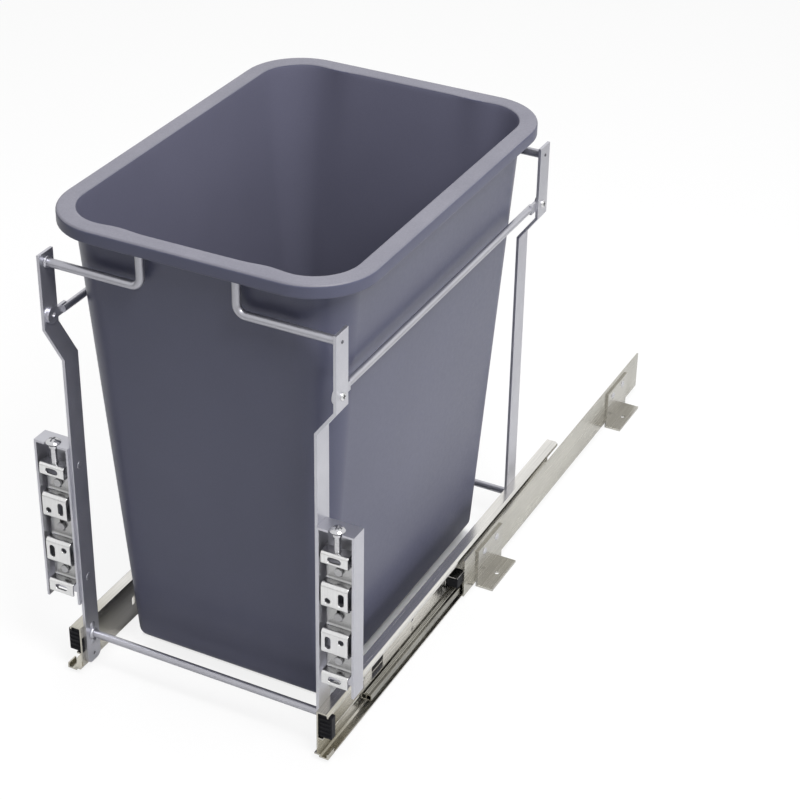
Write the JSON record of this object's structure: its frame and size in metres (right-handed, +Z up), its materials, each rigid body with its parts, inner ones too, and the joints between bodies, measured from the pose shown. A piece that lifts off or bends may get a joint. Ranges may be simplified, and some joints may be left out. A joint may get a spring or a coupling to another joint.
{
  "type": "pull-out bin frame",
  "caption": "Steel pull-out frame on full-extension ball slides, screwed to a floor, that carries a lift-out waste bin by its rim and a door on height-adjustable brackets.",
  "frame": {"origin": "on the mounting floor, at the centre of the four floor screw holes", "axes": "+X to the right, +Y to the rear along the slides, +Z up; at rest the frame is partly pulled out"},
  "size_m": [0.2864, 0.6499, 0.417],
  "materials": {
    "bin_plastic": "satin moulded, dark blue grey",
    "frame_paint": "metallic silver grey powder coat",
    "slide_steel": "zinc plated, rolled, lightly oiled",
    "cage_steel": "zinc plated",
    "ball_steel": "polished",
    "black_plastic": "matte black",
    "door_zinc": "bright zinc",
    "bracket_zinc": "zinc plated",
    "screw_steel": "bright plated"
  },
  "bodies": {
    "base": {"fixed_rail_left": "slide_steel", "fixed_rail_right": "slide_steel", "rail_stop_left": "black_plastic", "rail_stop_right": "black_plastic", "front_bracket_left": "bracket_zinc", "front_bracket_right": "bracket_zinc", "rear_bracket_left": "bracket_zinc", "rear_bracket_right": "bracket_zinc", "bracket_rivets": "screw_steel"},
    "frame": {"front_upright_left": "frame_paint", "front_upright_right": "frame_paint", "rear_upright_left": "frame_paint", "rear_upright_right": "frame_paint", "front_rim_wire_left": "frame_paint", "front_rim_wire_right": "frame_paint", "rear_rim_wire_left": "frame_paint", "rear_rim_wire_right": "frame_paint", "side_rod_left": "frame_paint", "side_rod_right": "frame_paint", "front_cross_rod": "frame_paint", "rear_cross_rod": "frame_paint", "side_rod_screws": "screw_steel", "foot_rivets": "frame_paint", "channel_rivets": "frame_paint", "drawer_rail_left": "slide_steel", "drawer_rail_right": "slide_steel", "rail_plug_left": "black_plastic", "rail_plug_right": "black_plastic", "door_channel_left": "frame_paint", "door_channel_right": "frame_paint", "clamp_screws": "screw_steel"},
    "middle_left": {"middle_rail_left": "slide_steel"},
    "inner_cage_left": {"inner_cage_left": "cage_steel", "inner_balls_left": "ball_steel"},
    "outer_cage_left": {"outer_cage_left": "cage_steel", "outer_balls_left": "ball_steel"},
    "door_strip_left": {"door_strip_left": "door_zinc"},
    "adjuster_left": {"adjuster_left": "screw_steel"},
    "middle_right": {"middle_rail_right": "slide_steel"},
    "inner_cage_right": {"inner_cage_right": "cage_steel", "inner_balls_right": "ball_steel"},
    "outer_cage_right": {"outer_cage_right": "cage_steel", "outer_balls_right": "ball_steel"},
    "door_strip_right": {"door_strip_right": "door_zinc"},
    "adjuster_right": {"adjuster_right": "screw_steel"},
    "bin": {"bin": "bin_plastic"}
  },
  "joints": [
    {"name": "frame_slide", "type": "slide", "parent": "base", "child": "frame", "axis": [0, -1, 0], "range_m": [-0.1885, 0.256]},
    {"name": "bin_lift", "type": "slide", "parent": "frame", "child": "bin", "axis": [0, 0, 1], "range_m": [0, 0.42]},
    {"name": "middle_left_slide", "type": "slide", "parent": "base", "child": "middle_left", "axis": [0, -1, 0], "range_m": [-0.1265, 0.17172]},
    {"name": "inner_cage_left_slide", "type": "slide", "parent": "base", "child": "inner_cage_left", "axis": [0, -1, 0], "range_m": [-0.1576, 0.21396]},
    {"name": "outer_cage_left_slide", "type": "slide", "parent": "base", "child": "outer_cage_left", "axis": [0, -1, 0], "range_m": [-0.06335, 0.08596]},
    {"name": "door_strip_left_slide", "type": "slide", "parent": "frame", "child": "door_strip_left", "axis": [0, 0, 1], "range_m": [-0.003, 0.003]},
    {"name": "adjuster_left_turn", "type": "hinge", "parent": "frame", "child": "adjuster_left", "pos_m": [-0.12718, -0.4319, 0.2], "axis": [0, 0, 1], "range_deg": [-1082, 1082]},
    {"name": "middle_right_slide", "type": "slide", "parent": "base", "child": "middle_right", "axis": [0, -1, 0], "range_m": [-0.1265, 0.17172]},
    {"name": "inner_cage_right_slide", "type": "slide", "parent": "base", "child": "inner_cage_right", "axis": [0, -1, 0], "range_m": [-0.1576, 0.21396]},
    {"name": "outer_cage_right_slide", "type": "slide", "parent": "base", "child": "outer_cage_right", "axis": [0, -1, 0], "range_m": [-0.06335, 0.08596]},
    {"name": "door_strip_right_slide", "type": "slide", "parent": "frame", "child": "door_strip_right", "axis": [0, 0, 1], "range_m": [-0.003, 0.003]},
    {"name": "adjuster_right_turn", "type": "hinge", "parent": "frame", "child": "adjuster_right", "pos_m": [0.12718, -0.4319, 0.2], "axis": [0, 0, 1], "range_deg": [-1082, 1082]}
  ],
  "couplings": [
    {"joint": "middle_left_slide", "follows": "frame_slide", "ratio": 0.67},
    {"joint": "inner_cage_left_slide", "follows": "frame_slide", "ratio": 0.835},
    {"joint": "outer_cage_left_slide", "follows": "frame_slide", "ratio": 0.335},
    {"joint": "adjuster_left_turn", "follows": "door_strip_left_slide", "rad_per_m": 6283.2},
    {"joint": "middle_right_slide", "follows": "frame_slide", "ratio": 0.67},
    {"joint": "inner_cage_right_slide", "follows": "frame_slide", "ratio": 0.835},
    {"joint": "outer_cage_right_slide", "follows": "frame_slide", "ratio": 0.335},
    {"joint": "adjuster_right_turn", "follows": "door_strip_right_slide", "rad_per_m": 6283.2}
  ]
}
